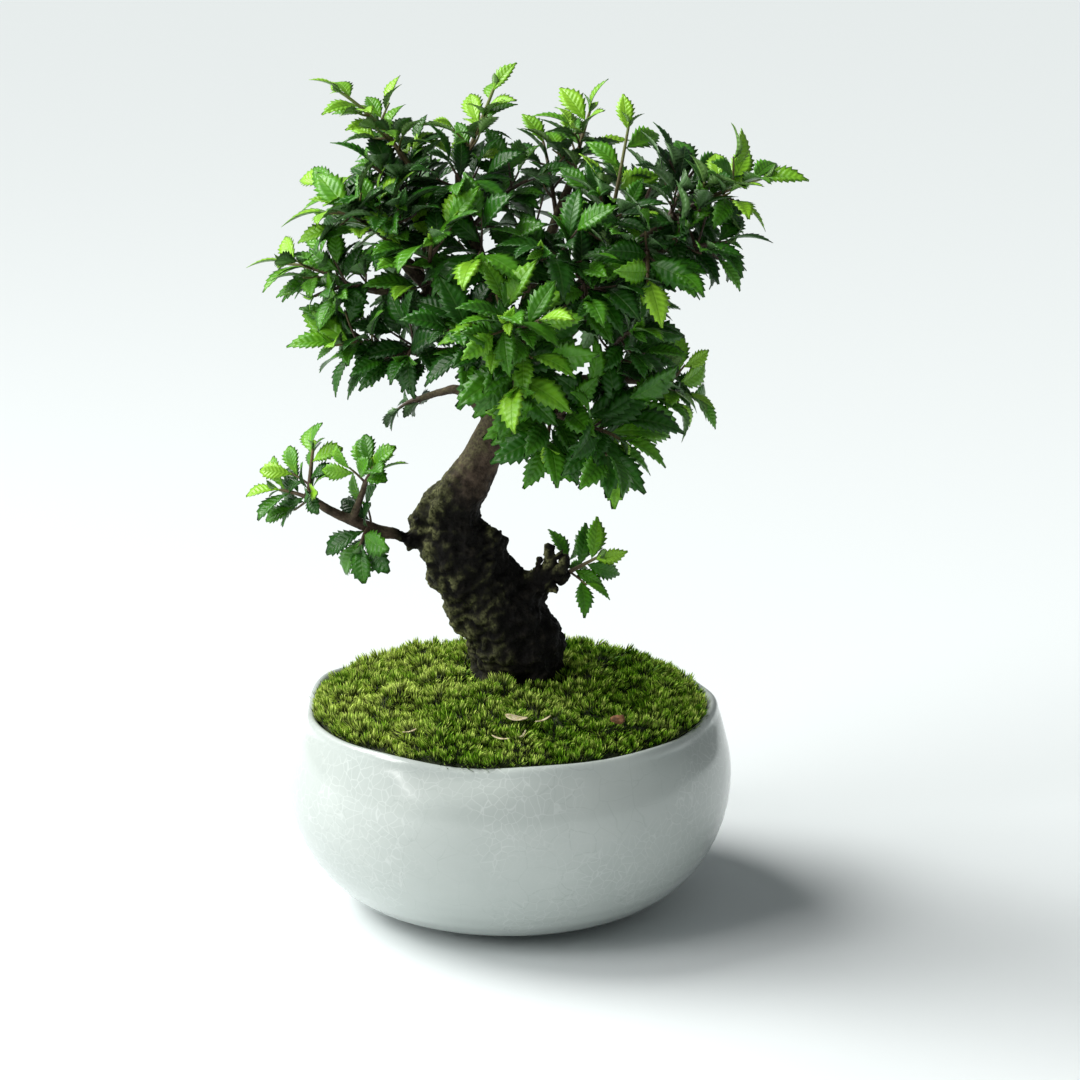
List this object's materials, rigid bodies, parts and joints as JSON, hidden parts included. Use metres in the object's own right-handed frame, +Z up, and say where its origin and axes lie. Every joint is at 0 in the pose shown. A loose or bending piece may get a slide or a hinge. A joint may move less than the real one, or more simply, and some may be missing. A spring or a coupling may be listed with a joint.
{
  "type": "potted bonsai tree",
  "caption": "Small elm bonsai with a bent, rough-barked trunk and serrated leaves, in a round, low, inward-curving celadon crackle-glazed pot topped with moss.",
  "frame": {"origin": "centre of the pot's flat foot, on the surface that it stands on", "axes": "+Z up along the tree; +X to the tree's right, towards the long right-hand shoot; -Y is the tree's front"},
  "size_m": [0.1279, 0.1052, 0.1965],
  "materials": {
    "celadon_glaze": "gloss",
    "net_plastic": "matte",
    "gravel": "matte",
    "soil": "matte",
    "moss": "matte",
    "bark": "matte",
    "foliage": "satin",
    "straw": "matte",
    "bark_chip": "matte"
  },
  "bodies": {
    "root": {"bark_crumb": "bark_chip", "drainage_net": "net_plastic", "dry_leaf": "straw", "gravel_layer": "gravel", "moss_back_left": "moss", "moss_back_right": "moss", "moss_front": "moss", "pot": "celadon_glaze", "shoot_back_left_low": "foliage", "shoot_back_left_tip": "foliage", "shoot_back_left_up": "foliage", "shoot_back_middle": "foliage", "shoot_back_right_low": "foliage", "shoot_back_right_up": "foliage", "shoot_far_left_low": "foliage", "shoot_far_left_tip": "foliage", "shoot_front_centre": "foliage", "shoot_front_left": "foliage", "shoot_front_lower": "foliage", "shoot_front_right": "foliage", "shoot_front_right_upper": "foliage", "shoot_front_upper": "foliage", "shoot_hanging_centre": "foliage", "shoot_hanging_front": "foliage", "shoot_hanging_right": "foliage", "shoot_inner_left": "foliage", "shoot_left_front": "foliage", "shoot_left_inner_up": "foliage", "shoot_left_top_bright": "foliage", "shoot_left_upper": "foliage", "shoot_low_left_fan": "foliage", "shoot_low_left_inner": "foliage", "shoot_low_right_bend": "foliage", "shoot_lower_left_low": "foliage", "shoot_lower_left_tip": "foliage", "shoot_lower_left_twig": "foliage", "shoot_lower_left_up": "foliage", "shoot_right_back": "foliage", "shoot_right_cluster": "foliage", "shoot_right_face": "foliage", "shoot_right_long": "foliage", "shoot_right_low": "foliage", "shoot_right_stub": "foliage", "shoot_right_twig": "foliage", "shoot_right_under": "foliage", "shoot_right_upper": "foliage", "shoot_top_back_left": "foliage", "shoot_top_back_spire": "foliage", "shoot_top_centre_front": "foliage", "shoot_top_centre_right": "foliage", "shoot_top_centre_spire": "foliage", "shoot_top_left_arch": "foliage", "shoot_top_left_back": "foliage", "shoot_top_left_front": "foliage", "shoot_top_right_back": "foliage", "shoot_top_right_front": "foliage", "shoot_top_right_spire": "foliage", "soil": "soil", "trunk": "bark"}
  },
  "joints": []
}
